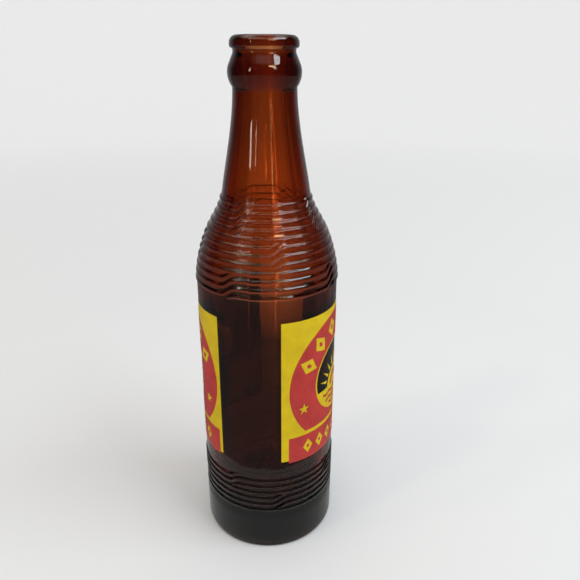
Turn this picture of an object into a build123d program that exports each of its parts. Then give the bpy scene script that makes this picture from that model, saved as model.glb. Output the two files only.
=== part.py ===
from build123d import *
import os
from math import cos, pi, radians, sin

# A returnable soda bottle with a crown finish: one moulded body of amber glass and, on its
# straight panel, two identical labels fired on as coats of coloured enamel.
# Frame: millimetres, +Z up the axis, origin at the centre of the ring that the bottle stands
# on, the front label faces -Y and the back label faces +Y.

# ---- driving dimensions ----------------------------------------------------------------------

# stack of heights, from the table to the lip
HEEL_HEIGHT = 20.5
LOWER_RIB_COUNT = 6
LOWER_RIB_PITCH = 3.25
PANEL_HEIGHT = 86.0
SHOULDER_HEIGHT = 43.0
NECK_HEIGHT = 35.3
FINISH_HEIGHT = 18.5

# outside radii
PANEL_RADIUS = 30.5
HEEL_PROUD = 0.45
NECK_BASE_RADIUS = 17.5
NECK_TOP_RADIUS = 12.7
BEAD_RADIUS = 14.45
COLLAR_RADIUS = 12.15
LIP_RADIUS = 13.4

# inside and base
WALL = 3.9
NECK_WALL = 4.2
MOUTH_RADIUS = 8.0
BORE_LENGTH = 13.0
BASE_THICKNESS = 6.0
FLOOR_SAG = 1.0
FLOOR_EDGE = 0.6
PUSH_UP = 4.0
HEEL_ROUND = 3.0
BEARING_WIDTH = 2.5
INNER_HEEL_RISE = 12.0

# horizontal ribs
RIB_HEIGHT = 0.5
RIB_ROUND = 1.15
VALLEY_ROUND = 0.5
SHOULDER_RIB_COUNT = 12
SHOULDER_RIB_PITCH = 3.3
HEEL_STEP = 3.0

# crown finish, heights down from the top of the lip
BEAD_BELLY = 13.1
BEAD_SHOULDER = 9.9
COLLAR_BOTTOM = 6.6
COLLAR_TOP = 4.75
LAND_BOTTOM = 3.6
LAND_TOP = 2.8
LIP_FLAT = 0.5
BEAD_TURN = 0.7
COLLAR_HOLLOW = 0.17

# labels: sizes along the curved glass
COAT = 0.1
LABEL_WIDTH = 67.6
LABEL_HEIGHT = 68.0
LABEL_GAP = 8.5
PRINT_SHIFT = (0.8, -1.0)
RING_RISE = 1.5
RING_OUTER = 31.0
RING_INNER = 17.7
RING_CUT = 20.7
WINDOW_RADIUS = 16.8
HORIZON_DROP = 5.0
BANNER_WIDTH = 62.4
BANNER_HEIGHT = 13.0
BANNER_DROP = 27.7

# label ornament
RING_LOZENGES = 6
RING_LOZENGE_STEP = 25.0
RING_LOZENGE = (10.0, 7.4)
BANNER_LOZENGES = 7
BANNER_LOZENGE_PITCH = 7.2
BANNER_LOZENGE = (7.5, 5.4)
LOZENGE_DOT = 0.3
STAR_ANGLE = 21.0
STAR_REACH = 25.7
STAR_RADIUS = 3.0
STAR_POINTS = 5
SUN_RADIUS = 8.4
SUN_BAND = (4.0, 5.8)
RAY_COUNT = 9
RAY_REACH = (10.0, 15.0)
RAY_HALF_ANGLE = 4.5
WAVE_HALF_LENGTHS = (12.0, 9.6, 6.2)
WAVE_PITCH = 3.1
WAVE_LENGTH = 6.4
WAVE_HEIGHT = 0.45
WAVE_THICKNESS = 1.1

# ---- heights and radii that follow from them -------------------------------------------------

RIBS_TOP = HEEL_HEIGHT + LOWER_RIB_COUNT * LOWER_RIB_PITCH
PANEL_TOP = RIBS_TOP + PANEL_HEIGHT
NECK_BASE = PANEL_TOP + SHOULDER_HEIGHT
NECK_TOP = NECK_BASE + NECK_HEIGHT
HEIGHT = NECK_TOP + FINISH_HEIGHT
HEEL_RADIUS = PANEL_RADIUS + HEEL_PROUD
LIP_FLAT_INNER = LIP_RADIUS - LAND_TOP - LIP_FLAT
MOUTH_EDGE = HEIGHT - (LIP_FLAT_INNER - MOUTH_RADIUS)
INNER_DROP = WALL / 2
LABEL_CENTRE = RIBS_TOP + LABEL_GAP + LABEL_HEIGHT / 2
RING_CENTRE = (PRINT_SHIFT[0], LABEL_CENTRE + RING_RISE + PRINT_SHIFT[1])
HORIZON = RING_CENTRE[1] - HORIZON_DROP

# The shoulder's S shape: share of its height, share of the way from neck radius to panel radius.
SHOULDER_SHAPE = ((0.28, 0.87), (0.56, 0.53), (0.79, 0.14))
NECK_SHAPE = ((0.64, 0.2),)
NECK_LEAN = (-0.18, 1.0)
UP = (0.0, 1.0)
DOWN = (0.0, -1.0)
OUTWARD = (1.0, 0.0)
SAME_PLACE = 0.01
INWARD = (-1.0, 0.0)


# ---- glass body ------------------------------------------------------------------------------

def s_curve(low, high, shape, low_tangent, high_tangent):
    """A spline from low to high through points given as shares of its height and radius."""
    points = [low]
    for rise, share in shape:
        radius = high[0] + share * (low[0] - high[0])
        points.append((radius, low[1] + rise * (high[1] - low[1])))
    points.append(high)
    return Spline(*points, tangents=[low_tangent, high_tangent])


def outer_shoulder():
    low = (PANEL_RADIUS, PANEL_TOP)
    high = (NECK_BASE_RADIUS, NECK_BASE)
    return s_curve(low, high, SHOULDER_SHAPE, UP, NECK_LEAN)


def outer_lines():
    """Outside of the half section, from the middle of the push-up to the foot of the bead."""
    bearing_outer = HEEL_RADIUS - HEEL_ROUND
    bearing_inner = bearing_outer - BEARING_WIDTH
    neck_low = (NECK_BASE_RADIUS, NECK_BASE)
    neck_high = (NECK_TOP_RADIUS, NECK_TOP)
    heel_top = HEEL_HEIGHT - HEEL_STEP
    return [
        TangentArc((0, PUSH_UP), (bearing_inner, 0), tangent=OUTWARD),
        Line((bearing_inner, 0), (bearing_outer, 0)),
        TangentArc((bearing_outer, 0), (HEEL_RADIUS, HEEL_ROUND), tangent=OUTWARD),
        Line((HEEL_RADIUS, HEEL_ROUND), (HEEL_RADIUS, heel_top)),
        Line((HEEL_RADIUS, heel_top), (PANEL_RADIUS, HEEL_HEIGHT)),
        Line((PANEL_RADIUS, HEEL_HEIGHT), (PANEL_RADIUS, PANEL_TOP)),
        outer_shoulder(),
        s_curve(neck_low, neck_high, NECK_SHAPE, NECK_LEAN, UP),
    ]


def finish_lines():
    """The crown finish: bead, collar, short cylindrical land, rounded lip and mouth's edge."""
    belly = (BEAD_RADIUS, HEIGHT - BEAD_BELLY)
    bead_shoulder = (BEAD_RADIUS - BEAD_TURN, HEIGHT - BEAD_SHOULDER)
    collar_end = COLLAR_RADIUS + COLLAR_HOLLOW
    collar_bottom = (collar_end, HEIGHT - COLLAR_BOTTOM)
    collar_top = (collar_end, HEIGHT - COLLAR_TOP)
    collar_middle = (COLLAR_RADIUS, HEIGHT - (COLLAR_BOTTOM + COLLAR_TOP) / 2)
    land_bottom = (LIP_RADIUS, HEIGHT - LAND_BOTTOM)
    land_top = (LIP_RADIUS, HEIGHT - LAND_TOP)
    flat_outer = (LIP_RADIUS - LAND_TOP, HEIGHT)
    flat_inner = (LIP_FLAT_INNER, HEIGHT)
    return [
        TangentArc(belly, (NECK_TOP_RADIUS, NECK_TOP), tangent=DOWN),
        TangentArc(belly, bead_shoulder, tangent=UP),
        Line(bead_shoulder, collar_bottom),
        ThreePointArc(collar_bottom, collar_middle, collar_top),
        TangentArc(land_bottom, collar_top, tangent=DOWN),
        Line(land_bottom, land_top),
        TangentArc(land_top, flat_outer, tangent=UP),
        Line(flat_outer, flat_inner),
        TangentArc(flat_inner, (MOUTH_RADIUS, MOUTH_EDGE), tangent=INWARD),
        Line((MOUTH_RADIUS, MOUTH_EDGE), (MOUTH_RADIUS, MOUTH_EDGE - BORE_LENGTH)),
    ]


def inner_lines():
    """Inside of the half section, from the foot of the mouth's bore to the middle of the floor."""
    inside = PANEL_RADIUS - WALL
    bore_foot = (MOUTH_RADIUS, MOUTH_EDGE - BORE_LENGTH)
    neck_foot = (NECK_BASE_RADIUS - NECK_WALL, NECK_BASE - INNER_DROP)
    shoulder_foot = (inside, PANEL_TOP - INNER_DROP)
    floor = PUSH_UP + BASE_THICKNESS
    floor_edge = (FLOOR_EDGE * inside, floor - FLOOR_SAG)
    wall_foot = (inside, floor + INNER_HEEL_RISE)
    return [
        s_curve(neck_foot, bore_foot, NECK_SHAPE, NECK_LEAN, UP),
        s_curve(shoulder_foot, neck_foot, SHOULDER_SHAPE, UP, NECK_LEAN),
        Line(wall_foot, shoulder_foot),
        Spline((0, floor), floor_edge, wall_foot, tangents=[OUTWARD, UP]),
        Line((0, PUSH_UP), (0, floor)),
    ]


def rib_seats():
    """Where each rib sits on the plain outline: point and outward normal."""
    seats = []
    for i in range(LOWER_RIB_COUNT):
        seats.append((Vector(PANEL_RADIUS, HEEL_HEIGHT + (i + 0.5) * LOWER_RIB_PITCH), Vector(1, 0)))
    shoulder = outer_shoulder()
    for i in range(SHOULDER_RIB_COUNT):
        along = (i + 0.5) * SHOULDER_RIB_PITCH
        tangent = shoulder.tangent_at(along, position_mode=PositionMode.LENGTH)
        point = shoulder.position_at(along, position_mode=PositionMode.LENGTH)
        seats.append((point, Vector(tangent.Y, -tangent.X)))
    return seats


def bottle_glass():
    section = make_face(outer_lines() + finish_lines() + inner_lines())
    plain_corners = section.vertices()
    for point, normal in rib_seats():
        centre = point + normal * (RIB_HEIGHT - RIB_ROUND)
        section += Pos(centre.X, centre.Y) * Circle(RIB_ROUND)
    valleys = [v for v in section.vertices() if min(v.distance_to(c) for c in plain_corners) > SAME_PLACE]
    section = fillet(valleys, VALLEY_ROUND)
    return revolve(Plane.XZ * section, Axis.Z)


# ---- labels ----------------------------------------------------------------------------------

def on_glass(along, height):
    """Front view of a point that lies along the curved panel, at a height."""
    return (PANEL_RADIUS * sin(along / PANEL_RADIUS), height)


def polygon(points):
    return make_face(Polyline(*[on_glass(x, z) for x, z in points], close=True))


def disc(centre, radius, points=24):
    turns = [2 * pi * i / points for i in range(points)]
    around = [on_glass(centre[0] + radius * cos(t), centre[1] + radius * sin(t)) for t in turns]
    return make_face(Spline(*around, periodic=True))


def strip(centre, width, height):
    """An upright rectangle on the panel."""
    x, z = centre
    corners = [(x - width / 2, z - height / 2), (x + width / 2, z - height / 2)]
    corners += [(x + width / 2, z + height / 2), (x - width / 2, z + height / 2)]
    return polygon(corners)


def polar(centre, reach, degrees):
    return (centre[0] + reach * cos(radians(degrees)), centre[1] + reach * sin(radians(degrees)))


def lozenge(centre, length, width, lean):
    """A lozenge whose long diagonal leans by an angle from level."""
    reaches = (length / 2, width / 2, length / 2, width / 2)
    return polygon([polar(centre, reach, lean + 90 * i) for i, reach in enumerate(reaches)])


def dotted_lozenge(centre, size, lean):
    """A lozenge with a small lozenge left standing in its middle."""
    length, width = size
    dot = lozenge(centre, LOZENGE_DOT * length, LOZENGE_DOT * width, lean)
    return lozenge(centre, length, width, lean) - dot


def star(centre):
    inner = STAR_RADIUS * cos(2 * pi / STAR_POINTS) / cos(pi / STAR_POINTS)
    points = []
    for i in range(2 * STAR_POINTS):
        reach = inner if i % 2 else STAR_RADIUS
        points.append(polar(centre, reach, 90 + 180 * i / STAR_POINTS))
    return polygon(points)


def ring_face():
    face = disc(RING_CENTRE, RING_OUTER) - disc(RING_CENTRE, RING_INNER)
    cut_depth = RING_OUTER - RING_CUT
    below = (RING_CENTRE[0], RING_CENTRE[1] - RING_CUT - cut_depth / 2)
    face -= strip(below, 2 * RING_OUTER, cut_depth)
    middle = (RING_OUTER + RING_INNER) / 2
    for i in range(RING_LOZENGES):
        turn = 90 + (i - (RING_LOZENGES - 1) / 2) * RING_LOZENGE_STEP
        face -= dotted_lozenge(polar(RING_CENTRE, middle, turn), RING_LOZENGE, turn)
    for turn in (-STAR_ANGLE, 180 + STAR_ANGLE):
        face -= star(polar(RING_CENTRE, STAR_REACH, turn))
    return face


def banner_face():
    x, z = PRINT_SHIFT[0], LABEL_CENTRE - BANNER_DROP + PRINT_SHIFT[1]
    face = strip((x, z), BANNER_WIDTH, BANNER_HEIGHT)
    for i in range(BANNER_LOZENGES):
        offset = (i - (BANNER_LOZENGES - 1) / 2) * BANNER_LOZENGE_PITCH
        face -= dotted_lozenge((x + offset, z), BANNER_LOZENGE, 90)
    return face


def window_face():
    """The sky left clear of enamel: a disc above the horizon, less the sun and its rays."""
    drop = HORIZON_DROP + WINDOW_RADIUS
    below = (RING_CENTRE[0], HORIZON - drop / 2)
    sun = (RING_CENTRE[0], HORIZON)
    face = disc(RING_CENTRE, WINDOW_RADIUS) - strip(below, 2 * WINDOW_RADIUS, drop)
    face -= disc(sun, SUN_RADIUS)
    near, far = RAY_REACH
    for i in range(RAY_COUNT):
        turn = 180 * (i + 1) / (RAY_COUNT + 1)
        sides = [polar(sun, near, turn - RAY_HALF_ANGLE), polar(sun, near, turn + RAY_HALF_ANGLE)]
        face -= polygon(sides + [polar(sun, far, turn)])
    return face


def wave_face(centre, half_length):
    """A level wavy stripe."""
    count = 2 * round(4 * half_length / WAVE_LENGTH) + 1
    edge = []
    for i in range(count):
        x = -half_length + 2 * half_length * i / (count - 1)
        edge.append((x, WAVE_HEIGHT * cos(2 * pi * x / WAVE_LENGTH)))
    half = WAVE_THICKNESS / 2
    top = [on_glass(centre[0] + x, centre[1] + z + half) for x, z in edge]
    bottom = [on_glass(centre[0] + x, centre[1] + z - half) for x, z in edge]
    ends = [Line(top[0], bottom[0]), Line(top[-1], bottom[-1])]
    return make_face([Spline(*top), Spline(*bottom)] + ends)


def emblem_face():
    """Red detail of the emblem: a half band on the sun and stripes of water below it."""
    sun = (RING_CENTRE[0], HORIZON)
    inner, outer = SUN_BAND
    below = (RING_CENTRE[0], HORIZON - outer / 2)
    face = disc(sun, outer) - disc(sun, inner) - strip(below, 3 * outer, outer)
    for i, half_length in enumerate(WAVE_HALF_LENGTHS):
        face += wave_face((RING_CENTRE[0], HORIZON - (i + 1) * WAVE_PITCH), half_length)
    return face


def coat(face, level):
    """Enamel of one coat's thickness in the outline of a front view; level 0 is on the glass."""
    inner = PANEL_RADIUS + level * COAT
    shell = Cylinder(inner + COAT, HEIGHT, align=(Align.CENTER, Align.CENTER, Align.MIN))
    shell -= Cylinder(inner, HEIGHT, align=(Align.CENTER, Align.CENTER, Align.MIN))
    return extrude(Plane.XZ * face, amount=inner + 2 * COAT) & shell


def label_ground():
    low = LABEL_CENTRE - LABEL_HEIGHT / 2
    section = Pos(PANEL_RADIUS, low) * Rectangle(COAT, LABEL_HEIGHT, align=(Align.MIN, Align.MIN))
    span = 180 / pi * LABEL_WIDTH / PANEL_RADIUS
    sheet = revolve(Plane.XZ * section, Axis.Z, revolution_arc=span)
    sheet = Rot(0, 0, -90 - span / 2) * sheet
    return sheet - coat(window_face(), 0)


def label_banner():
    """The banner lies on the yellow coat and runs down off it onto the glass."""
    low = LABEL_CENTRE - LABEL_HEIGHT / 2
    face = banner_face()
    off_label = strip((0, low - BANNER_HEIGHT / 2), 2 * BANNER_WIDTH, BANNER_HEIGHT)
    return coat(face, 1) + coat(face & off_label, 0)


def front_label():
    return {
        "ground": label_ground(),
        "ring": coat(ring_face(), 1),
        "banner": label_banner(),
        "emblem": coat(emblem_face(), 1),
    }


# ---- nodes -----------------------------------------------------------------------------------

def write_node(name, shape):
    export_step(Compound(children=[Solid(s.wrapped) for s in shape.solids()]), f"parts/{name}.step")
    print(name, "solids", len(shape.solids()), "volume", round(shape.volume, 1))


def main():
    os.makedirs("parts", exist_ok=True)
    write_node("bottle_glass", bottle_glass())
    for name, shape in front_label().items():
        write_node(f"front_label_{name}", shape)
        write_node(f"back_label_{name}", Rot(0, 0, 180) * shape)
    print("height", round(HEIGHT, 2))


main()
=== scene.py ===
from math import asin, atan2, cos, degrees, pi, radians, sin, sqrt

import bpy
import numpy as np
from mathutils import Matrix, Vector
from mathutils.geometry import delaunay_2d_cdt


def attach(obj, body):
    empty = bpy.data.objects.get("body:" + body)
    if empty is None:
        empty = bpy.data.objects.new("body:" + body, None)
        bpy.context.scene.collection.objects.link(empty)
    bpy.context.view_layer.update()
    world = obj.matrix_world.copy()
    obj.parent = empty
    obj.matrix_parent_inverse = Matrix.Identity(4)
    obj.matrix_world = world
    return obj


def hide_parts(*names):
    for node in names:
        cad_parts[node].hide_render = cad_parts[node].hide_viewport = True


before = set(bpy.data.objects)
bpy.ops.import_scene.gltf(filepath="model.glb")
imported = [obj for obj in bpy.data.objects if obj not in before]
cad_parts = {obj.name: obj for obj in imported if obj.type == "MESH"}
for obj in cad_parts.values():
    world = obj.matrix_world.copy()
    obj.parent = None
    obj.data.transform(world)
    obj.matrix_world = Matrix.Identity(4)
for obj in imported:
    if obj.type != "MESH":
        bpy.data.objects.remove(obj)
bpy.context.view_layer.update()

# A returnable soda bottle: amber glass with ribbed bands, and two fired enamel labels.
# Sizes are in millimetres, as in the CAD model, and are turned into metres where a mesh is made.
MM = 0.001

# ---- sizes of the glass ----------------------------------------------------------------------

HEIGHT = 222.8
HEEL_RADIUS = 30.95
HEEL_ROUND = 3.0
HEEL_HEIGHT = 20.5
HEEL_STEP = 3.0
PANEL_RADIUS = 30.5
LOWER_RIB_COUNT = 6
LOWER_RIB_PITCH = 3.25
RIBS_TOP = HEEL_HEIGHT + LOWER_RIB_COUNT * LOWER_RIB_PITCH
PANEL_TOP = RIBS_TOP + 86.0
NECK_BASE = PANEL_TOP + 43.0
NECK_TOP = NECK_BASE + 35.3
NECK_BASE_RADIUS = 17.5
NECK_TOP_RADIUS = 12.7
BEAD_RADIUS = 14.45
COLLAR_RADIUS = 12.15
LIP_RADIUS = 13.4
MOUTH_RADIUS = 8.0
MOUTH_DEPTH = 13.0
# heights on the finish, measured down from the rim
BEAD_BELLY = 13.1
BEAD_SHOULDER = 9.9
COLLAR_BOTTOM = 6.6
COLLAR_TOP = 4.75
LAND_BOTTOM = 3.6
LAND_TOP = 2.8
# sideways sizes on the finish
BEAD_TURN = 0.7
COLLAR_HOLLOW = 0.17
LIP_FLAT = 0.5
WALL = 3.9
NECK_WALL = 4.2
PUSH_UP = 4.0
BASE_THICKNESS = 6.0
BEARING_WIDTH = 2.5
INNER_HEEL_RISE = 12.0
SHOULDER_SHAPE = ((0.28, 0.87), (0.56, 0.53), (0.79, 0.14))
NECK_SHAPE = ((0.64, 0.2),)
NECK_LEAN = (-0.18, 1.0)
FLOOR_EDGE = 0.6
FLOOR_SAG = 1.0

# ribs: raised rings, whose runs step up by one pitch at evenly spaced jogs
RIB_HEIGHT = 0.5
RIB_ROUND = 1.15
VALLEY_SOFTNESS = 0.05
CREST = 0.99
BAND_FADE = 0.5
SHOULDER_RIB_COUNT = 12
SHOULDER_RIB_PITCH = 3.3
ROWS_PER_RIB = 13
JOG_WIDTH = 13.0
JOGS_A = tuple(-105.0 + 90.0 * k for k in range(4))
JOGS_B = tuple(-64.5 + 90.0 * k for k in range(4))

# (waves round the bottle, millimetres of rise per wave, size in millimetres)
INNER_STREAKS = ((3, 210.0, 0.16), (7, -150.0, 0.09), (16, 330.0, 0.05), (29, -240.0, 0.025))
STREAKS_FOOT = 22.0
STREAKS_FULL = (42.0, 182.0)
STREAKS_TOP = 207.0

# degrees between the mesh's columns, and how far from a jog or a seam the finer ones reach
COLUMN_STEP = 3.0
JOG_STEP = 1.0
JOG_REACH = JOG_WIDTH / 2 + 1.0
SEAM_STEP = 0.3
SEAM_REACH = 1.5

# mould marks: two seams, a joint line round the foot, and the neck ring's line under the bead
SEAMS = (-87.0, 93.0)
SEAM_HEIGHT = 0.13
SEAM_WIDTH = 0.32
SEAM_TOP = HEIGHT - 3.0
SEAM_SHARE = {"shoulder": 1.0, "lower": 0.0, "plain": 0.5}
MOULD_MISMATCH = 0.07
BASE_JOINT = 3.4
BASE_JOINT_DEPTH = 0.12
BASE_JOINT_WIDTH = 0.35
STIPPLE_AZIMUTH = -97.0
STIPPLE_REACH = (2.0, 5.0)
STIPPLE_RELIEF = 0.5
NECK_RING = 203.4
NECK_RING_HALF_WIDTH = 0.4
NECK_RING_RELIEF = 0.35

# (height, half width) of the bands that rub on other bottles, and of the worn foot
RUBBED_BANDS = ((11.0, 7.0), (131.0, 7.0))
WORN_FOOT = (0.0, 2.0)

# ---- sizes of the labels ---------------------------------------------------------------------

COAT = 0.1
EMBED = 0.03
BEND_BELOW_EDGE = 0.5
BEND_LENGTH = 0.6
LABEL_WIDTH = 67.6
LABEL_HEIGHT = 68.0
LABEL_CENTRE = RIBS_TOP + 8.5 + LABEL_HEIGHT / 2
PRINT_SHIFT = (0.8, -1.0)
RING_CENTRE = (PRINT_SHIFT[0], LABEL_CENTRE + 1.5 + PRINT_SHIFT[1])
RING_OUTER = 31.0
RING_INNER = 17.7
RING_CUT = 20.7
WINDOW_RADIUS = 16.8
HORIZON = RING_CENTRE[1] - 5.0
BANNER_SIZE = (62.4, 13.0)
BANNER_CENTRE = (PRINT_SHIFT[0], LABEL_CENTRE - 27.7 + PRINT_SHIFT[1])
RING_LOZENGES = 6
RING_LOZENGE_STEP = 25.0
RING_LOZENGE = (10.0, 7.4)
BANNER_LOZENGES = 7
BANNER_LOZENGE_PITCH = 7.2
BANNER_LOZENGE = (7.5, 5.4)
LOZENGE_DOT = 0.3
STAR_ANGLE = 21.0
STAR_REACH = 25.7
STAR_RADIUS = 3.0
STAR_POINTS = 5
SUN_RADIUS = 8.4
SUN_BAND = (4.0, 5.8)
RAY_COUNT = 9
RAY_REACH = (10.0, 15.0)
RAY_HALF_ANGLE = 4.5
WAVE_HALF_LENGTHS = (12.0, 9.6, 6.2)
WAVE_PITCH = 3.1
WAVE_LENGTH = 6.4
WAVE_HEIGHT = 0.45
WAVE_THICKNESS = 1.1

# ---- camera ----------------------------------------------------------------------------------

VIEW_AZIMUTH = -73.5
CAMERA_REACH = 238.4
CAMERA_HEIGHT = 217.7
CAMERA_PITCH = 22.52
CAMERA_YAW = 2.42
CAMERA_ROLL = 0.22
LENS = 36.03
SENSOR = 36.0

# ---- colours and stage -----------------------------------------------------------------------

AMBER = (0.76, 0.455, 0.15, 1.0)
AMBER_DENSITY = 760.0
# each enamel where it is thick, where it is thin, and in its flecks
YELLOW = ((0.68, 0.49, 0.004, 1.0), (0.58, 0.40, 0.004, 1.0), (0.10, 0.05, 0.01, 1.0))
RED = ((0.50, 0.042, 0.036, 1.0), (0.40, 0.032, 0.028, 1.0), (0.07, 0.02, 0.015, 1.0))

# the stage's sizes are in metres, its angles in degrees
MIDDLE = Vector((0.0, 0.0, 0.12))
FLOOR_RADIUS = 1.2
FLOOR_BEND = 1.0
FLOOR_PAINT = (0.78, 0.78, 0.775, 1.0)
# radii between which the floor's painted shadow under the bottle fades out
FOOT_SHADOW_RADII = (0.0295, 0.0305)
# the floor glows more further off, a painted light, up to this strength
FAR_GLOW_REACH = (0.3, 1.3)
FAR_GLOW = 0.24
# a glowing board seen only through the glass: painted shade below, where a wall would lie in the
# bottle's shadow, painted light above
BOARD_DISTANCE = 0.0325
BOARD_SLOPE = -0.087
BOARD_HALF_WIDTH = 0.16
BOARD_HEIGHT = 0.33
BOARD_DARK_TO = 0.078
BOARD_PALE_FROM = 0.135
# a painted bright upright streak on the board, its distance to the right of the middle
BOARD_STREAK = 0.0052
BOARD_STREAK_HALF_WIDTH = 0.0008
BOARD_STREAK_GLOW = 3.2
# the dark of the painted shadows on the board, on the contact shade and on the floor under the
# bottle
BOARD_DARK = (0.04, 0.04, 0.04, 1.0)
BOARD_PALE = (1.0, 1.14, 1.08, 1.0)
# how much of the board's painted light is left to the sides of the streak, and over what distance
# it fades
BOARD_SIDE = 0.55
BOARD_SIDE_REACH = (0.004, 0.026)
# how brightly the board glows behind the shoulder and behind the neck, and the heights between:
# painted light
SHOULDER_GLOW = 1.3
NECK_GLOW = 0.76
NECK_GLOW_HEIGHTS = (0.165, 0.185)
CONTACT_SHADE_RADIUS = 0.06
CONTACT_SHADE_LIFT = 0.00003
ROOM_RADIUS = 2.6
# where the room's parts begin and end, as shares of its radius
ROOM_MIDDLE = (-0.30, -0.15)
ROOM_CEILING_FOOT = (0.70, 0.85)
ROOM_CEILING_TOP = (0.93, 0.97)
ROOM_WALL_REACH = (0.35, 0.95)
# glowing colours of the room: painted light, seen only in reflections
ROOM_LOW = (0.17, 0.17, 0.17, 1.0)
ROOM_DIM = (0.03, 0.03, 0.033, 1.0)
ROOM_WALL = (0.50, 0.48, 0.50, 1.0)
ROOM_CEILING = (1.8, 1.62, 1.4, 1.0)
# a glowing ring round the foot, the painted reflection of the near floor
TABLE_TOP_RADII = (0.0312, 0.085)
TABLE_TOP_LIFT = 0.00002
TABLE_TOP = (0.42, 0.42, 0.41, 1.0)
COOL = (0.88, 0.95, 1.0, 1.0)
WARM = (1.0, 0.86, 0.72, 1.0)
REDDISH = (1.0, 0.60, 0.46, 1.0)
GOLDEN = (1.0, 0.70, 0.32, 1.0)
STRIP_DISTANCE = 0.9
RAISED = Vector((0.0, 0.0, 0.18))
# (name, azimuth, width, lowest and highest elevation, glow, colour)
WINDOW_STRIPS = (
    ("left_slit", -46.0, 4.0, 7.6, 22.0, 11.0, WARM),
    ("near_left_slit", -35.0, 2.4, 7.6, 24.0, 7.0, REDDISH),
    ("right_slit", 33.0, 8.0, 19.0, 31.0, 8.0, COOL),
    ("golden_slit", 17.5, 1.4, 3.0, 11.0, 6.0, GOLDEN),
    ("golden_patch", 26.0, 20.0, 30.0, 38.0, 14.0, GOLDEN),
)
# (nearest and furthest reach in metres, first and last azimuth, height in metres)
SHELF = (0.05, 0.5, -120.0, 120.0, 0.115)
# the shelf's dim glow: painted shade in the reflections
SHELF_GLOW = (0.22, 0.21, 0.19, 1.0)
LAMP_DISTANCE = 1.2
# (name, azimuth, elevation, width and length, power in watts, colour)
LAMPS = (
    ("window_light", 64.0, 50.0, (0.80, 0.28), 6.5, (0.88, 0.95, 1.0)),
    ("room_lamp", -57.0, 50.0, (0.12, 0.10), 1.2, (1.0, 0.82, 0.62)),
    ("room_lamp_2", -75.0, 50.0, (0.08, 0.08), 0.6, (1.0, 0.82, 0.62)),
)
WORLD = (0.97, 0.98, 1.0, 1.0)
WORLD_STRENGTH = 0.71


def smooth_step(t):
    t = np.clip(t, 0.0, 1.0)
    return t * t * (3.0 - 2.0 * t)


# ---- outline of the glass --------------------------------------------------------------------

def spline(points, start, end, count):
    """Points along a cubic through the given ones, with set directions at both ends."""
    p = np.array(points, float)
    chord = np.hypot(*np.diff(p, axis=0).T)
    t = np.concatenate([[0.0], np.cumsum(chord)])
    n = len(p)
    m = np.zeros((n, n))
    rhs = np.zeros((n, 2))
    m[0, 0] = m[-1, -1] = 1.0
    rhs[0] = np.array(start) / np.hypot(*start)
    rhs[-1] = np.array(end) / np.hypot(*end)
    for i in range(1, n - 1):
        a, b = chord[i - 1], chord[i]
        m[i, i - 1 : i + 2] = (b, 2 * (a + b), a)
        rhs[i] = 3 * (b * (p[i] - p[i - 1]) / a + a * (p[i + 1] - p[i]) / b)
    slope = np.linalg.solve(m, rhs)
    out = []
    for u in np.linspace(0.0, t[-1], count):
        i = min(int(np.searchsorted(t, u, side="right")) - 1, n - 2)
        h = chord[i]
        s = (u - t[i]) / h
        h00, h10 = 2 * s**3 - 3 * s**2 + 1, s**3 - 2 * s**2 + s
        h01, h11 = -2 * s**3 + 3 * s**2, s**3 - s**2
        out.append(h00 * p[i] + h10 * h * slope[i] + h01 * p[i + 1] + h11 * h * slope[i + 1])
    return np.array(out)


def s_curve(low, high, shape, start, end, count):
    points = [low]
    for rise, share in shape:
        points.append((high[0] + share * (low[0] - high[0]), low[1] + rise * (high[1] - low[1])))
    points.append(high)
    return spline(points, start, end, count)


def arc(centre, radius, start, end, count):
    """Points of a circular arc, angles in degrees from outward towards up."""
    angles = np.radians(np.linspace(start, end, count))
    return np.stack([centre[0] + radius * np.cos(angles), centre[1] + radius * np.sin(angles)], 1)


def three_point_arc(a, b, c, count):
    (ax, ay), (bx, by), (cx, cy) = a, b, c
    d = 2 * (ax * (by - cy) + bx * (cy - ay) + cx * (ay - by))
    sa, sb, sc = ax * ax + ay * ay, bx * bx + by * by, cx * cx + cy * cy
    ux = (sa * (by - cy) + sb * (cy - ay) + sc * (ay - by)) / d
    uy = (sa * (cx - bx) + sb * (ax - cx) + sc * (bx - ax)) / d
    start, middle, end = (degrees(atan2(y - uy, x - ux)) for x, y in (a, b, c))
    while middle - start > 180:
        middle -= 360
    while middle - start < -180:
        middle += 360
    while end - middle > 180:
        end -= 360
    while end - middle < -180:
        end += 360
    return arc((ux, uy), sqrt((ax - ux) ** 2 + (ay - uy) ** 2), start, end, count)


def line(a, b, count):
    t = np.linspace(0.0, 1.0, count)[:, None]
    return np.array(a) * (1 - t) + np.array(b) * t


def resample(points, step):
    """The same run of points at an even step along its length."""
    reach = np.concatenate([[0.0], np.cumsum(np.hypot(*np.diff(points, axis=0).T))])
    at = np.linspace(0.0, reach[-1], int(round(reach[-1] / step)) + 1)
    return np.stack([np.interp(at, reach, points[:, k]) for k in (0, 1)], 1)


def base_outline():
    """Push-up, bearing ring and heel."""
    outer = HEEL_RADIUS - HEEL_ROUND
    inner = outer - BEARING_WIDTH
    dome = (inner**2 + PUSH_UP**2) / (2 * PUSH_UP)
    edge = degrees(asin(inner / dome))
    above_joint = BASE_JOINT + 1.0
    return [
        arc((0, PUSH_UP - dome), dome, 90, 90 - edge, 16),
        line((inner, 0), (outer, 0), 4),
        arc((outer, HEEL_ROUND), HEEL_ROUND, -90, 0, 9),
        line((HEEL_RADIUS, HEEL_ROUND), (HEEL_RADIUS, above_joint), 8),
        line((HEEL_RADIUS, above_joint), (HEEL_RADIUS, HEEL_HEIGHT - HEEL_STEP), 7),
        line((HEEL_RADIUS, HEEL_HEIGHT - HEEL_STEP), (PANEL_RADIUS, HEEL_HEIGHT), 5),
    ]


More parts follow.
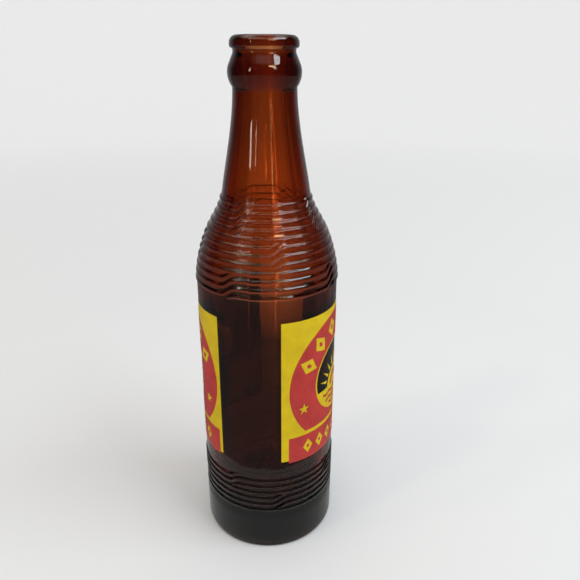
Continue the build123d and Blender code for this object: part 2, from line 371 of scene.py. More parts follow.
def shoulder_outline(count=400):
    low, high = (PANEL_RADIUS, PANEL_TOP), (NECK_BASE_RADIUS, NECK_BASE)
    return s_curve(low, high, SHOULDER_SHAPE, (0, 1), NECK_LEAN, count)


def turn_from(start, end, heading, count):
    """Points of the arc that leaves start upright, heading up (1) or down (-1), and meets end."""
    across, rise = start[0] - end[0], abs(end[1] - start[1])
    radius = (across**2 + rise**2) / (2 * across)
    sweep = degrees(atan2(rise, radius - across))
    return arc((start[0] - radius, start[1]), radius, 0, heading * sweep, count)


def finish_outline():
    """Bead, collar, land and rounded lip, down to the foot of the mouth's bore."""
    belly = (BEAD_RADIUS, HEIGHT - BEAD_BELLY)
    bead_shoulder = (BEAD_RADIUS - BEAD_TURN, HEIGHT - BEAD_SHOULDER)
    collar_bottom = (COLLAR_RADIUS + COLLAR_HOLLOW, HEIGHT - COLLAR_BOTTOM)
    collar_middle = (COLLAR_RADIUS, HEIGHT - (COLLAR_BOTTOM + COLLAR_TOP) / 2)
    collar_top = (COLLAR_RADIUS + COLLAR_HOLLOW, HEIGHT - COLLAR_TOP)
    land_bottom, land_top = (LIP_RADIUS, HEIGHT - LAND_BOTTOM), (LIP_RADIUS, HEIGHT - LAND_TOP)
    flat_outer = LIP_RADIUS - LAND_TOP
    flat_inner = flat_outer - LIP_FLAT
    mouth_round = flat_inner - MOUTH_RADIUS
    mouth_centre = (flat_inner, HEIGHT - mouth_round)
    mouth_edge = (MOUTH_RADIUS, HEIGHT - mouth_round)
    return [
        turn_from(belly, (NECK_TOP_RADIUS, NECK_TOP), -1, 12)[::-1],
        turn_from(belly, bead_shoulder, 1, 8),
        line(bead_shoulder, collar_bottom, 5),
        three_point_arc(collar_bottom, collar_middle, collar_top, 7),
        turn_from(land_bottom, collar_top, -1, 8)[::-1],
        line(land_bottom, land_top, 3),
        turn_from(land_top, (flat_outer, HEIGHT), 1, 12),
        arc(mouth_centre, mouth_round, 90, 180, 8),
        line(mouth_edge, (MOUTH_RADIUS, mouth_edge[1] - MOUTH_DEPTH), 5),
    ]


def inner_outline():
    """Inside surface, from the foot of the mouth's bore down to the middle of the floor."""
    bore_foot = finish_outline()[-1][-1]
    inside, neck_inside = PANEL_RADIUS - WALL, NECK_BASE_RADIUS - NECK_WALL
    shoulder_foot, neck_foot = (inside, PANEL_TOP - WALL / 2), (neck_inside, NECK_BASE - WALL / 2)
    floor = PUSH_UP + BASE_THICKNESS
    edge = (FLOOR_EDGE * inside, floor - FLOOR_SAG)
    foot = (inside, floor + INNER_HEEL_RISE)
    neck = s_curve(neck_foot, tuple(bore_foot), NECK_SHAPE, NECK_LEAN, (0, 1), 12)
    shoulder = s_curve(shoulder_foot, neck_foot, SHOULDER_SHAPE, (0, 1), NECK_LEAN, 22)
    heel = spline([(0, floor), edge, foot], (1, 0), (0, 1), 22)
    return [neck[::-1], shoulder[::-1], line(shoulder_foot, foot, 10), heel[::-1]]


def join(runs):
    """One list of points from runs that meet end to end."""
    points = [runs[0]]
    for run in runs[1:]:
        points.append(run[1:])
    return np.concatenate(points)


# ---- ribs and mould marks --------------------------------------------------------------------

def wrap_degrees(angle):
    return (angle + 180.0) % 360.0 - 180.0


def steps_up(azimuth, jogs):
    """How far the ribs have climbed within the jog at this azimuth, in pitches, 0 to 1."""
    climb = np.zeros_like(azimuth)
    for jog in jogs:
        t = wrap_degrees(azimuth - jog) / JOG_WIDTH + 0.5
        climb += np.where((t > 0) & (t < 1), smooth_step(t), 0.0)
    return climb


def ridge(phase):
    """Section of a row of ribs, each part of a circle: its crests, at whole phases, a hair worn."""
    across = np.abs(phase - np.round(phase)) * SHOULDER_RIB_PITCH
    rise = RIB_HEIGHT - RIB_ROUND + np.sqrt(np.maximum(RIB_ROUND**2 - across**2, 0.0))
    return np.minimum(0.5 * (rise + np.hypot(rise, VALLEY_SOFTNESS)) / RIB_HEIGHT, CREST)


def rib_field(along, azimuth, bands, mismatch):
    """Rib height, 0 to 1, where along is the distance up the band in pitches.

    Each band is (low, high, jogs, low_is_crest, high_is_crest), in pitches from the first crest.
    The mismatch is how much lower the ribs sit on one half of the mould, in pitches."""
    second_half = (wrap_degrees(azimuth - SEAMS[0]) > 0) * mismatch
    height = np.zeros_like(azimuth)
    for low, high, jogs, low_is_crest, high_is_crest in bands:
        if not low <= along < high:
            continue
        ribs = ridge(along - steps_up(azimuth, jogs) + second_half)
        near_low = 1 - smooth_step((along - low) / BAND_FADE)
        near_high = 1 - smooth_step((high - along) / BAND_FADE)
        straight = ridge(along + second_half)
        ribs = ribs + near_low * ((straight if low_is_crest else 0.0) - ribs)
        ribs = ribs + near_high * ((straight if high_is_crest else 0.0) - ribs)
        height = ribs
    return height


LOWER_BANDS = (
    (-0.5, 0.0, (), False, True),
    (0.0, 3.0, JOGS_B, True, True),
    (3.0, LOWER_RIB_COUNT - 0.3, JOGS_A, True, False),
)
SHOULDER_BANDS = (
    (-0.6, 3.0, JOGS_A, False, True),
    (3.0, 7.0, JOGS_B, True, True),
    (7.0, SHOULDER_RIB_COUNT - 0.3, JOGS_A, True, False),
)


def seam_field(azimuth, radius):
    """Height of the two mould seams, thin raised lines up the sides."""
    height = np.zeros_like(azimuth)
    for seam in SEAMS:
        across = radians(1.0) * wrap_degrees(azimuth - seam) * radius / SEAM_WIDTH
        height += SEAM_HEIGHT * np.exp(-across * across)
    return height


def column_azimuths():
    """Azimuths of the mesh's columns, in degrees, closer together at the jogs and the seams."""
    fine = [(jog, JOG_REACH, JOG_STEP) for jog in JOGS_A + JOGS_B]
    fine += [(seam, SEAM_REACH, SEAM_STEP) for seam in SEAMS]
    azimuths = [-180.0]
    while azimuths[-1] < 180.0:
        here = azimuths[-1]
        step = COLUMN_STEP
        for centre, reach, small in fine:
            gap = wrap_degrees(centre - reach - here)
            if abs(wrap_degrees(here + small - centre)) < reach:
                step = min(step, small)
            elif 0 < gap < step:
                step = min(step, max(small, gap))
        azimuths.append(here + step)
    return np.array(azimuths[:-1])


def glass_rows():
    """Rows of the closed surface: plain point, outward normal, kind of relief and its place."""
    rows = []

    def add(points, kind="plain", along=None):
        direction = np.gradient(points, axis=0)
        direction /= np.hypot(*direction.T)[:, None]
        for k, point in enumerate(points):
            if rows and np.hypot(*(point - rows[-1][0])) < 1e-6:
                continue
            normal = np.array([direction[k][1], -direction[k][0]])
            rows.append((point, normal, kind, 0.0 if along is None else along[k]))

    add(join(base_outline()))
    top = RIBS_TOP + 0.25 * LOWER_RIB_PITCH
    lower = line((PANEL_RADIUS, HEEL_HEIGHT), (PANEL_RADIUS, top), 2)
    lower = resample(lower, LOWER_RIB_PITCH / ROWS_PER_RIB)
    add(lower, "lower", (lower[:, 1] - HEEL_HEIGHT) / LOWER_RIB_PITCH - 0.5)
    add(line(lower[-1], (PANEL_RADIUS, PANEL_TOP), 14))
    shoulder = resample(shoulder_outline(), SHOULDER_RIB_PITCH / ROWS_PER_RIB)
    reach = np.concatenate([[0.0], np.cumsum(np.hypot(*np.diff(shoulder, axis=0).T))])
    add(shoulder, "shoulder", reach / SHOULDER_RIB_PITCH - 0.5)
    neck_low, neck_high = (NECK_BASE_RADIUS, NECK_BASE), (NECK_TOP_RADIUS, NECK_TOP)
    add(s_curve(neck_low, neck_high, NECK_SHAPE, NECK_LEAN, (0, 1), 22))
    add(join(finish_outline()))
    add(join(inner_outline()), "inside")
    return rows


def unevenness(angles, point):
    """Blown glass is thicker in soft upright streaks, all of it inside the body's cavity."""
    wave = np.zeros_like(angles)
    for turns, rise, size in INNER_STREAKS:
        wave += size * np.cos(turns * angles + 2 * pi * point[1] / rise)
    low, high = STREAKS_FULL
    clear_of_floor = smooth_step((point[1] - STREAKS_FOOT) / (low - STREAKS_FOOT))
    clear_of_mouth = smooth_step((STREAKS_TOP - point[1]) / (STREAKS_TOP - high))
    return wave * clear_of_floor * clear_of_mouth


def glass_mesh():
    azimuths = column_azimuths()
    angles = np.radians(azimuths)
    rings = []
    for point, normal, kind, along in glass_rows():
        lift = np.zeros_like(azimuths)
        if kind == "lower":
            lift = RIB_HEIGHT * rib_field(along, azimuths, LOWER_BANDS, 0.0)
        if kind == "shoulder":
            lift = RIB_HEIGHT * rib_field(along, azimuths, SHOULDER_BANDS, MOULD_MISMATCH)
        if kind != "inside" and BASE_JOINT < point[1] < SEAM_TOP:
            seam = seam_field(azimuths, point[0]) * SEAM_SHARE[kind]
            proud = max(point[0] - PANEL_RADIUS, 0.0)
            lift = np.maximum(lift, np.minimum(lift + seam, CREST * RIB_HEIGHT - proud))
        if kind != "inside" and point[0] > BEAD_RADIUS:
            from_joint = (point[1] - BASE_JOINT) / BASE_JOINT_WIDTH
            lift = lift - BASE_JOINT_DEPTH * np.exp(-from_joint * from_joint)
        if kind == "inside":
            lift = -unevenness(angles, point)
        radius = point[0] + lift * normal[0]
        height = point[1] + lift * normal[1]
        ring = np.stack([radius * np.sin(angles), -radius * np.cos(angles), height], 1)
        rings.append(ring * MM)
    columns = len(azimuths)
    vertices = [tuple(rings[0][0] * (0, 0, 1))]
    for ring in rings[1:-1]:
        vertices += [tuple(v) for v in ring]
    vertices.append(tuple(rings[-1][0] * (0, 0, 1)))
    faces = ring_faces(len(rings) - 2, columns, 1)
    last = len(vertices) - 1
    for k in range(columns):
        after = (k + 1) % columns
        faces.append((0, 1 + after, 1 + k))
        faces.append((last, last - columns + k, last - columns + after))
    return make_object("bottle_glass_body", vertices, faces, smooth=True)


def ring_faces(rings, columns, first=0, flipped=False):
    """Quads between closed rings of vertices: rising rings face out, or in when flipped."""
    faces = []
    for row in range(rings - 1):
        low, high = first + row * columns, first + (row + 1) * columns
        for k in range(columns):
            after = (k + 1) % columns
            if flipped:
                faces.append((low + k, high + k, high + after, low + after))
            else:
                faces.append((low + k, low + after, high + after, high + k))
    return faces


def make_object(name, vertices, faces, smooth):
    mesh = bpy.data.meshes.new(name)
    mesh.from_pydata(vertices, [], faces)
    mesh.validate()
    mesh.polygons.foreach_set("use_smooth", [smooth] * len(mesh.polygons))
    mesh.update()
    made = bpy.data.objects.new(name, mesh)
    bpy.context.scene.collection.objects.link(made)
    return made


# ---- label outlines, in millimetres along the glass and up ------------------------------------

def polar(centre, reach, angle):
    return (centre[0] + reach * cos(radians(angle)), centre[1] + reach * sin(radians(angle)))


def circle(centre, radius, count=96):
    return [polar(centre, radius, 360.0 * i / count) for i in range(count)]


def chord_cut_disc(centre, radius, level, count=96):
    """The part of a disc above a height."""
    turn = degrees(asin((level - centre[1]) / radius))
    sweep = 180 - 2 * turn
    return [polar(centre, radius, turn + sweep * i / count) for i in range(count + 1)]


def rectangle(centre, size):
    x, z = size[0] / 2, size[1] / 2
    corners = [(-x, -z), (x, -z), (x, z), (-x, z)]
    return [(centre[0] + a, centre[1] + b) for a, b in corners]


def lozenge(centre, size, lean, share=1.0):
    reaches = (size[0] / 2, size[1] / 2) * 2
    return [polar(centre, share * reach, lean + 90 * i) for i, reach in enumerate(reaches)]


def star(centre):
    inner = STAR_RADIUS * cos(2 * pi / STAR_POINTS) / cos(pi / STAR_POINTS)
    reaches = (STAR_RADIUS, inner) * STAR_POINTS
    return [polar(centre, reach, 90 + 180 * i / STAR_POINTS) for i, reach in enumerate(reaches)]


def wave(centre, half_length, count=48):
    edge = []
    for i in range(count + 1):
        x = -half_length + 2 * half_length * i / count
        edge.append((centre[0] + x, centre[1] + WAVE_HEIGHT * cos(2 * pi * x / WAVE_LENGTH)))
    half = WAVE_THICKNESS / 2
    return [(x, z - half) for x, z in edge] + [(x, z + half) for x, z in reversed(edge)]


def sky_window():
    """Outline of the glass left clear inside the ring, above the horizon and round the sun."""
    outer = chord_cut_disc(RING_CENTRE, WINDOW_RADIUS, HORIZON)
    sun = chord_cut_disc((RING_CENTRE[0], HORIZON), SUN_RADIUS, HORIZON, count=48)
    return outer + sun[::-1]


def sun_rays():
    centre = (RING_CENTRE[0], HORIZON)
    near, far = RAY_REACH
    rays = []
    for i in range(RAY_COUNT):
        turn = 180 * (i + 1) / (RAY_COUNT + 1)
        right = polar(centre, near, turn - RAY_HALF_ANGLE)
        left = polar(centre, near, turn + RAY_HALF_ANGLE)
        rays.append([right, polar(centre, far, turn), left])
    return rays


def ring_outlines():
    level = RING_CENTRE[1] - RING_CUT
    solid = [chord_cut_disc(RING_CENTRE, RING_OUTER, level, count=160)]
    holes = [circle(RING_CENTRE, RING_INNER, 128)]
    middle = (RING_OUTER + RING_INNER) / 2
    for i in range(RING_LOZENGES):
        turn = 90 + (i - (RING_LOZENGES - 1) / 2) * RING_LOZENGE_STEP
        centre = polar(RING_CENTRE, middle, turn)
        holes.append(lozenge(centre, RING_LOZENGE, turn))
        solid.append(lozenge(centre, RING_LOZENGE, turn, LOZENGE_DOT))
    for turn in (-STAR_ANGLE, 180 + STAR_ANGLE):
        holes.append(star(polar(RING_CENTRE, STAR_REACH, turn)))
    return solid, holes


def banner_outlines():
    solid, holes = [rectangle(BANNER_CENTRE, BANNER_SIZE)], []
    for i in range(BANNER_LOZENGES):
        x = BANNER_CENTRE[0] + (i - (BANNER_LOZENGES - 1) / 2) * BANNER_LOZENGE_PITCH
        holes.append(lozenge((x, BANNER_CENTRE[1]), BANNER_LOZENGE, 90))
        solid.append(lozenge((x, BANNER_CENTRE[1]), BANNER_LOZENGE, 90, LOZENGE_DOT))
    return solid, holes


def emblem_outlines():
    sun = (RING_CENTRE[0], HORIZON)
    inner, outer = SUN_BAND
    band = chord_cut_disc(sun, outer, HORIZON, count=48)
    band += chord_cut_disc(sun, inner, HORIZON, count=40)[::-1]
    solid = [band]
    for i, half_length in enumerate(WAVE_HALF_LENGTHS):
        solid.append(wave((sun[0], HORIZON - (i + 1) * WAVE_PITCH), half_length))
    return solid, []


def ground_outlines():
    solid = [rectangle((0.0, LABEL_CENTRE), (LABEL_WIDTH, LABEL_HEIGHT))] + sun_rays()
    return solid, [sky_window()]


# ---- enamel coats ----------------------------------------------------------------------------

def inside_loop(point, loop):
    x, y = point
    inside = False
    for (ax, ay), (bx, by) in zip(loop, loop[1:] + loop[:1]):
        if (ay > y) != (by > y) and x < ax + (y - ay) * (bx - ax) / (by - ay):
            inside = not inside
    return inside


def filled(solid, holes, spacing):
    """Triangles that fill the solid outlines and leave the holes, with points spaced inside."""
    points, edges = [], []
    for loop in solid + holes:
        first = len(points)
        for (ax, ay), (bx, by) in zip(loop, loop[1:] + loop[:1]):
            parts = max(1, int(np.hypot(bx - ax, by - ay) / spacing))
            for k in range(parts):
                points.append((ax + (bx - ax) * k / parts, ay + (by - ay) * k / parts))
        count = len(points) - first
        edges += [(first + k, first + (k + 1) % count) for k in range(count)]
    box = np.array(solid[0])
    low, high = box.min(0), box.max(0)
    for j, z in enumerate(np.arange(low[1] + spacing / 2, high[1], spacing)):
        for x in np.arange(low[0] + spacing * (0.5 + 0.5 * (j % 2)), high[0], spacing):
            points.append((float(x), float(z)))
    flat, _, triangles, _, _, _ = delaunay_2d_cdt([Vector(p) for p in points], edges, [], 0, 1e-6)
    kept = []
    for triangle in triangles:
        middle = [sum(flat[k][axis] for k in triangle) / 3 for axis in (0, 1)]
        depth = sum(inside_loop(middle, loop) for loop in solid)
        depth -= sum(inside_loop(middle, loop) for loop in holes)
        if depth > 0:
            kept.append(tuple(triangle))
    return [tuple(p) for p in flat], kept


def coat_mesh(name, outlines, low, turn, spacing=1.5, drape=None):
    """A thin closed coat on the panel. low is its underside's height over the glass."""
    flat, triangles = filled(*outlines, spacing)
    used = sorted({k for triangle in triangles for k in triangle})
    index = {k: i for i, k in enumerate(used)}
    count = len(used)
    vertices = []
    for top in (False, True):
        for k in used:
            x, z = flat[k]
            radius = PANEL_RADIUS + (COAT if top else -EMBED) + low
            if drape is not None:
                radius = PANEL_RADIUS + drape(z, top)
            angle = x / PANEL_RADIUS + turn
            vertices.append((radius * sin(angle) * MM, -radius * cos(angle) * MM, z * MM))
    faces, sides = [], {}
    for a, b, c in triangles:
        a, b, c = index[a], index[b], index[c]
        faces.append((c, b, a))
        faces.append((count + a, count + b, count + c))
        for edge in ((a, b), (b, c), (c, a)):
            sides[edge] = sides.get(edge, 0) + 1
    for a, b in sides:
        if (b, a) not in sides:
            faces.append((a, b, count + b, count + a))
    return make_object(name, vertices, faces, smooth=False)


def banner_drape(z, top):
    """The banner lies on the yellow coat and bends down onto the glass below its lower edge."""
    foot = LABEL_CENTRE - LABEL_HEIGHT / 2 - BEND_BELOW_EDGE
    on_ground = float(smooth_step((z - foot) / BEND_LENGTH))
    if not top:
        return -EMBED + on_ground * COAT
    return COAT + on_ground * COAT


def label(side, turn):
    """The four pieces of one label, turned round the bottle."""
    banner_name = f"{side}_banner_enamel"
    pieces = {
        "ground": coat_mesh(f"{side}_ground_enamel", ground_outlines(), 0.0, turn),
        "ring": coat_mesh(f"{side}_ring_enamel", ring_outlines(), COAT, turn),
        "banner": coat_mesh(banner_name, banner_outlines(), 0.0, turn, 1.0, banner_drape),
        "emblem": coat_mesh(f"{side}_emblem_enamel", emblem_outlines(), COAT, turn),
    }
    for part, piece in pieces.items():
        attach(piece, "root")
        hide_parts(f"{side}_label_{part}")
    return pieces


# ---- materials -------------------------------------------------------------------------------

def new_material(name):
    material = bpy.data.materials.new(name)
    material.use_nodes = True
    tree = material.node_tree
    return material, tree, tree.nodes["Principled BSDF"]


def node(tree, kind, inputs=(), **settings):
    """A new node with its settings, and its inputs linked to sockets or set to plain values."""
    made = tree.nodes.new(kind)
    for key, value in settings.items():
        setattr(made, key, value)
    for key, value in dict(inputs).items():
        if isinstance(value, bpy.types.NodeSocket):
            tree.links.new(value, made.inputs[key])
        else:
            made.inputs[key].default_value = value
    return made


def place_on(tree):
    """Position on the piece, in metres."""
    return node(tree, "ShaderNodeTexCoord").outputs["Object"]


def noise(tree, scale, detail=4.0, stretch=(1.0, 1.0, 1.0), roughness=0.55):
    mapped = node(tree, "ShaderNodeMapping", {"Vector": place_on(tree), "Scale": stretch})
    settings = {"Vector": mapped.outputs["Vector"], "Scale": scale, "Detail": detail}
    settings["Roughness"] = roughness
    return node(tree, "ShaderNodeTexNoise", settings).outputs["Fac"]


def levels(tree, value, low, high, out_low=0.0, out_high=1.0):
    """Stretches the values between low and high to the output range, clamped."""
    settings = {"Value": value, "From Min": low, "From Max": high}
    settings.update({"To Min": out_low, "To Max": out_high})
    return node(tree, "ShaderNodeMapRange", settings).outputs["Result"]


def calculate(tree, operation, first, second):
    return node(tree, "ShaderNodeMath", {0: first, 1: second}, operation=operation).outputs["Value"]


def blend(tree, factor, first, second):
    """Colour that goes from first to second as the factor goes from 0 to 1."""
    mixed = node(tree, "ShaderNodeMix", data_type="RGBA")
    for name, value in (("Factor_Float", factor), ("A_Color", first), ("B_Color", second)):
        socket = next(s for s in mixed.inputs if s.identifier == name)
        if isinstance(value, bpy.types.NodeSocket):
            tree.links.new(value, socket)
        else:
            socket.default_value = value
    return next(s for s in mixed.outputs if s.identifier == "Result_Color")


def level_band(tree, height, half_width):
    """1 at a height on the bottle, in millimetres, fading to 0 a half width away."""
    up = node(tree, "ShaderNodeSeparateXYZ", {"Vector": place_on(tree)}).outputs["Z"]
    away = calculate(tree, "ABSOLUTE", calculate(tree, "SUBTRACT", up, height * MM), 0.0)
    return levels(tree, away, 0.0, half_width * MM, 1.0, 0.0)


def seam_side(tree):
    """1 in a narrow upright band beside each mould seam on the shoulder, fading to 0."""
    place = node(tree, "ShaderNodeSeparateXYZ", {"Vector": place_on(tree)}).outputs
    turn = radians(STIPPLE_AZIMUTH)
    along_x = calculate(tree, "MULTIPLY", place["X"], -cos(turn))
    along_y = calculate(tree, "MULTIPLY", place["Y"], sin(turn))
    off_line = calculate(tree, "ABSOLUTE", calculate(tree, "SUBTRACT", along_x, along_y), 0.0)
    near, far = STIPPLE_REACH
    across = levels(tree, off_line, near * MM, far * MM, 1.0, 0.0)
    height = level_band(tree, (PANEL_TOP + NECK_BASE) / 2, (NECK_BASE - PANEL_TOP) / 2)
    return calculate(tree, "MULTIPLY", across, levels(tree, height, 0.0, 0.4))


def add_bump(tree, shader, height, strength, distance):
    settings = {"Height": height, "Strength": strength, "Distance": distance}
    bump = node(tree, "ShaderNodeBump", settings)
    tree.links.new(bump.outputs["Normal"], shader.inputs["Normal"])


def amber_glass():
    """Amber glass with moulding ripple, and fine scuffs where bottles rub in a crate."""
    material, tree, shader = new_material("amber_glass")
    shader.inputs["Base Color"].default_value = (1.0, 1.0, 1.0, 1.0)
    shader.inputs["Transmission Weight"].default_value = 1.0
    shader.inputs["IOR"].default_value = 1.52
    heel, shoulder = (level_band(tree, *band) for band in RUBBED_BANDS)
    foot = calculate(tree, "MULTIPLY", level_band(tree, *WORN_FOOT), 2.0)
    worn = calculate(tree, "MAXIMUM", calculate(tree, "MAXIMUM", heel, shoulder), foot)
    scratch = levels(tree, noise(tree, 420.0, 8.0, (1.0, 1.0, 3.0), 0.7), 0.60, 0.74)
    scuff = calculate(tree, "MULTIPLY", worn, scratch)
    smear = levels(tree, noise(tree, 38.0, 3.0), 0.35, 0.75, 0.0, 0.045)
    rough = calculate(tree, "ADD", calculate(tree, "MULTIPLY", scuff, 0.28), smear)
    tree.links.new(rough, shader.inputs["Roughness"])
    ripple = noise(tree, 75.0, 2.0, (1.0, 1.0, 0.45))
    stipple = calculate(tree, "MULTIPLY", seam_side(tree), noise(tree, 700.0, 3.0))
    relief = calculate(tree, "ADD", ripple, calculate(tree, "MULTIPLY", stipple, STIPPLE_RELIEF))
    ring = level_band(tree, NECK_RING, NECK_RING_HALF_WIDTH)
    relief = calculate(tree, "ADD", relief, calculate(tree, "MULTIPLY", ring, NECK_RING_RELIEF))
    add_bump(tree, shader, relief, 0.35, 0.0006)
    settings = {"Density": AMBER_DENSITY, "Color": AMBER}
    absorb = node(tree, "ShaderNodeVolumeAbsorption", settings)
    tree.links.new(absorb.outputs["Volume"], tree.nodes["Material Output"].inputs["Volume"])
    return material


def enamel(name, colour, thin, fleck):
    """Fired enamel: slightly uneven cover, dark pinholes and small worn flecks."""
    material, tree, shader = new_material(name)
    cover = levels(tree, noise(tree, 160.0, 5.0), 0.35, 0.7)
    base = blend(tree, cover, colour, thin)
    settings = {"Vector": place_on(tree), "Scale": 900.0, "Randomness": 1.0}
    cells = node(tree, "ShaderNodeTexVoronoi", settings).outputs["Distance"]
    pinholes = levels(tree, cells, 0.05, 0.12, 1.0, 0.0)
    sparse = levels(tree, noise(tree, 320.0, 2.0), 0.57, 0.62)
    speck = calculate(tree, "MULTIPLY", pinholes, sparse)
    worn = levels(tree, noise(tree, 520.0, 9.0, roughness=0.75), 0.71, 0.76, 0.0, 0.8)
    mark = calculate(tree, "MAXIMUM", speck, worn)
    tree.links.new(blend(tree, mark, base, fleck), shader.inputs["Base Color"])
    rough = levels(tree, noise(tree, 240.0, 4.0), 0.3, 0.7, 0.26, 0.42)
    tree.links.new(rough, shader.inputs["Roughness"])
    shader.inputs["Specular IOR Level"].default_value = 0.25
    add_bump(tree, shader, noise(tree, 1500.0, 3.0), 0.25, 0.00004)
    return material


# ---- stage -----------------------------------------------------------------------------------

def stage_paint():
    """Pale paint, with a painted shadow where the bottle stands, and a painted glow that makes it a
    little brighter far off.
    """
    material, tree, shader = new_material("stage_paint")
    length = node(tree, "ShaderNodeVectorMath", {0: place_on(tree)}, operation="LENGTH")
    away = length.outputs["Value"]
    clear_of_foot_shadow = levels(tree, away, *FOOT_SHADOW_RADII)
    tree.links.new(blend(tree, clear_of_foot_shadow, BOARD_DARK, FLOOR_PAINT), shader.inputs["Base Color"])
    shader.inputs["Roughness"].default_value = 0.7
    shader.inputs["Emission Color"].default_value = FLOOR_PAINT
    far_glow = levels(tree, away, *FAR_GLOW_REACH, 0.0, FAR_GLOW)
    tree.links.new(far_glow, shader.inputs["Emission Strength"])
    return material


def bowl(name, flat, bend, columns=96):
    """A round floor, flat to one radius, whose edge curves up into a low wall."""
    rings = [(flat + bend * sin(a), bend * (1 - cos(a))) for a in np.linspace(0.0, pi / 2, 12)]
    vertices = [(0.0, 0.0, 0.0)]
    for radius, height in rings:
        vertices += [(x, y, height) for x, y in circle((0.0, 0.0), radius, columns)]
    faces = ring_faces(len(rings), columns, 1, flipped=True)
    faces += [(0, 1 + k, 1 + (k + 1) % columns) for k in range(columns)]
    return make_object(name, vertices, faces, smooth=True)


def make_floor():
    floor = bowl("floor", FLOOR_RADIUS, FLOOR_BEND)
    floor.data.materials.append(stage_paint())
    floor.visible_glossy = False


def glowing(name):
    """A material that only gives off light, to be set by its Emission inputs."""
    material, tree, shader = new_material(name)
    shader.inputs["Base Color"].default_value = (0.0, 0.0, 0.0, 1.0)
    shader.inputs["Specular IOR Level"].default_value = 0.0
    shader.inputs["Emission Strength"].default_value = 1.0
    return material, tree, shader


def plain_glow(name, colour, strength=1.0):
    material, _, shader = glowing(name)
    shader.inputs["Emission Color"].default_value = colour
    shader.inputs["Emission Strength"].default_value = strength
    return material


def seen_only(piece, ray):
    """Lets only one kind of ray meet a stage piece."""
    for kind in ("camera", "diffuse", "glossy", "transmission", "shadow"):
        setattr(piece, f"visible_{kind}", kind == ray)


def board_paint():
    """Glowing paint with painted light and shade: pale at the top, dark below, as a wall is in the
    bottle's shadow, paler near one painted bright streak.
    """
    material, tree, shader = glowing("board_paint")
    place = node(tree, "ShaderNodeSeparateXYZ", {"Vector": place_on(tree)}).outputs
    off_streak = calculate(tree, "SUBTRACT", place["X"], BOARD_STREAK)
    off_streak = calculate(tree, "ABSOLUTE", off_streak, 0.0)
    side = levels(tree, off_streak, *BOARD_SIDE_REACH, 1.0, BOARD_SIDE)
    shade = levels(tree, place["Z"], BOARD_DARK_TO, BOARD_PALE_FROM)
    shade = calculate(tree, "MULTIPLY", shade, side)
    tree.links.new(blend(tree, shade, BOARD_DARK, BOARD_PALE), shader.inputs["Emission Color"])
    streak = levels(tree, off_streak, 0.0, BOARD_STREAK_HALF_WIDTH, BOARD_STREAK_GLOW, 1.0)
    rising = levels(tree, place["Z"], *NECK_GLOW_HEIGHTS, SHOULDER_GLOW, NECK_GLOW)
    glow = calculate(tree, "MULTIPLY", streak, rising)
    tree.links.new(glow, shader.inputs["Emission Strength"])
    return material


def make_backing():
    """A glowing board just behind the bottle, seen only through the glass, which it darkens with
    its painted shade.
    """
    corners = []
    for x, z in rectangle((0.0, BOARD_HEIGHT / 2), (2 * BOARD_HALF_WIDTH, BOARD_HEIGHT)):
        corners.append((x, BOARD_DISTANCE + BOARD_SLOPE * x, z))
    board = make_object("backing_board", corners, [(0, 1, 2, 3)], smooth=False)
    board.rotation_euler = (0.0, 0.0, radians(VIEW_AZIMUTH))
    board.data.materials.append(board_paint())
    seen_only(board, "transmission")


def make_contact_shade():
    """The shadow round the foot of the bottle, seen only through the glass."""
    rim = circle((0.0, 0.0), CONTACT_SHADE_RADIUS, 64)
    vertices = [(x, y, CONTACT_SHADE_LIFT) for x, y in rim]
    shade = make_object("contact_shade", vertices, [tuple(range(64))], smooth=False)
    shade.data.materials.append(plain_glow("contact_shade", BOARD_DARK))
    seen_only(shade, "transmission")


def make_room():
    """The room that the glass reflects, a glowing dome seen only in reflections, all painted light:
    dark, with a pale wall behind the bottle and a bright ceiling.
    """
    material, tree, shader = glowing("room")
    place = node(tree, "ShaderNodeSeparateXYZ", {"Vector": place_on(tree)}).outputs
    up = calculate(tree, "DIVIDE", place["Z"], ROOM_RADIUS)
    away_x = calculate(tree, "MULTIPLY", place["X"], -sin(radians(VIEW_AZIMUTH)) / ROOM_RADIUS)
    away_y = calculate(tree, "MULTIPLY", place["Y"], cos(radians(VIEW_AZIMUTH)) / ROOM_RADIUS)
    wall = levels(tree, calculate(tree, "ADD", away_x, away_y), *ROOM_WALL_REACH)
    middle = levels(tree, up, *ROOM_MIDDLE)
    above_wall = levels(tree, up, *ROOM_CEILING_FOOT)
    below_zenith = levels(tree, up, *ROOM_CEILING_TOP, 1.0, 0.0)
    ceiling = calculate(tree, "MULTIPLY", above_wall, below_zenith)
    walls = blend(tree, middle, ROOM_LOW, blend(tree, wall, ROOM_DIM, ROOM_WALL))
    tree.links.new(blend(tree, ceiling, walls, ROOM_CEILING), shader.inputs["Emission Color"])
    columns, rows = 32, 16
    vertices = []
    for row in range(1, rows):
        rise = 180.0 * row / rows
        height = -ROOM_RADIUS * cos(radians(rise))
        rim = circle((0.0, 0.0), ROOM_RADIUS * sin(radians(rise)), columns)
        vertices += [(x, y, height) for x, y in rim]
    faces = ring_faces(rows - 1, columns, flipped=True)
    room = make_object("room", vertices, faces, smooth=True)
    room.data.materials.append(material)
    seen_only(room, "glossy")


def make_table_top():
    """A glowing ring seen only in reflections: a painted reflection of the part of the pale floor
    close enough to be reflected in the heel.
    """
    columns, vertices = 64, []
    for radius in TABLE_TOP_RADII:
        vertices += [(x, y, TABLE_TOP_LIFT) for x, y in circle((0.0, 0.0), radius, columns)]
    top = make_object("table_top", vertices, ring_faces(2, columns, flipped=True), smooth=False)
    top.data.materials.append(plain_glow("table_top", TABLE_TOP))
    seen_only(top, "glossy")


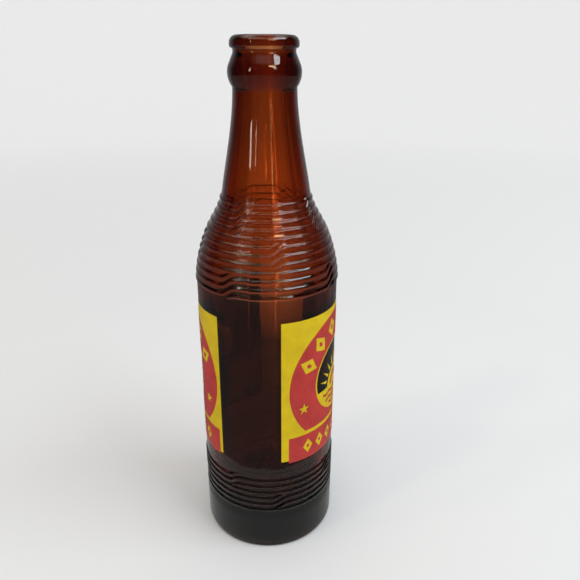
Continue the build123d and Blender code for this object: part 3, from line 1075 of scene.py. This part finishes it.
def make_window_strips():
    """Patches of light that the bead, the neck and the shoulder ribs reflect as streaks."""
    for name, azimuth, width, low, high, glow, colour in WINDOW_STRIPS:
        corners = []
        for side, elevation in ((-1, low), (1, low), (1, high), (-1, high)):
            turn = azimuth + side * width / 2
            corners.append(tuple(around(turn, elevation, STRIP_DISTANCE, RAISED)))
        strip = make_object(name, corners, [(0, 1, 2, 3)], smooth=False)
        strip.data.materials.append(plain_glow(name, colour, glow))
        seen_only(strip, "glossy")


def make_shelf():
    """A dim glowing shelf, seen only in reflections, that keeps the slits and the ceiling from
    being reflected low on the bottle: painted shade in the reflections.
    """
    near, far, first, last, height = SHELF
    corners = []
    for turn in np.linspace(first, last, 25):
        for reach in (near, far):
            place = around(turn, 0.0, reach)
            corners.append((place.x, place.y, height))
    faces = [(k, k + 1, k + 3, k + 2) for k in range(0, len(corners) - 2, 2)]
    shelf = make_object("shelf", corners, faces, smooth=False)
    shelf.data.materials.append(plain_glow("shelf", SHELF_GLOW))
    seen_only(shelf, "glossy")


def around(azimuth, elevation, distance, centre=MIDDLE):
    """A place seen from the bottle at an azimuth right of the camera's side and an elevation."""
    a, e = radians(VIEW_AZIMUTH + azimuth), radians(elevation)
    return Vector((sin(a) * cos(e), -cos(a) * cos(e), sin(e))) * distance + centre


def area_light(name, azimuth, elevation, size, power, colour):
    data = bpy.data.lights.new(name, "AREA")
    data.shape = "RECTANGLE"
    data.size, data.size_y = size
    data.energy = power
    data.color = colour
    lamp = bpy.data.objects.new(name, data)
    bpy.context.scene.collection.objects.link(lamp)
    lamp.visible_transmission = False
    lamp.location = around(azimuth, elevation, LAMP_DISTANCE)
    lamp.rotation_euler = (lamp.location - MIDDLE).to_track_quat("Z", "Y").to_euler()


def make_lights():
    for lamp in LAMPS:
        area_light(*lamp)
    world = bpy.data.worlds.new("studio")
    world.use_nodes = True
    background = world.node_tree.nodes["Background"]
    background.inputs["Color"].default_value = WORLD
    background.inputs["Strength"].default_value = WORLD_STRENGTH
    world.cycles_visibility.glossy = False
    bpy.context.scene.world = world
    bpy.context.scene.view_settings.view_transform = "Standard"


def make_camera():
    turn = Matrix.Rotation(radians(VIEW_AZIMUTH), 3, "Z")
    yaw, pitch = radians(CAMERA_YAW), radians(CAMERA_PITCH)
    forward = turn @ Vector((sin(yaw) * cos(pitch), cos(yaw) * cos(pitch), -sin(pitch)))
    right = turn @ Vector((cos(yaw), -sin(yaw), 0.0))
    up = right.cross(forward)
    roll = radians(CAMERA_ROLL)
    right, up = right * cos(roll) + up * sin(roll), up * cos(roll) - right * sin(roll)
    data = bpy.data.cameras.new("camera")
    data.lens = LENS
    data.sensor_width = SENSOR
    data.clip_start = 0.01
    camera = bpy.data.objects.new("camera", data)
    bpy.context.scene.collection.objects.link(camera)
    axes = Matrix((right, up, -forward)).transposed().to_4x4()
    place = turn @ Vector((0.0, -CAMERA_REACH, CAMERA_HEIGHT)) * MM
    camera.matrix_world = Matrix.Translation(place) @ axes
    bpy.context.scene.camera = camera


def main():
    make_camera()
    make_floor()
    make_backing()
    make_contact_shade()
    make_room()
    make_table_top()
    make_window_strips()
    make_shelf()
    make_lights()
    glass = glass_mesh()
    glass.data.materials.append(amber_glass())
    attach(glass, "root")
    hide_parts("bottle_glass")
    yellow = enamel("yellow_enamel", *YELLOW)
    red = enamel("red_enamel", *RED)
    for side, turn in (("front", 0.0), ("back", pi)):
        for part, piece in label(side, turn).items():
            piece.data.materials.append(yellow if part == "ground" else red)


main()
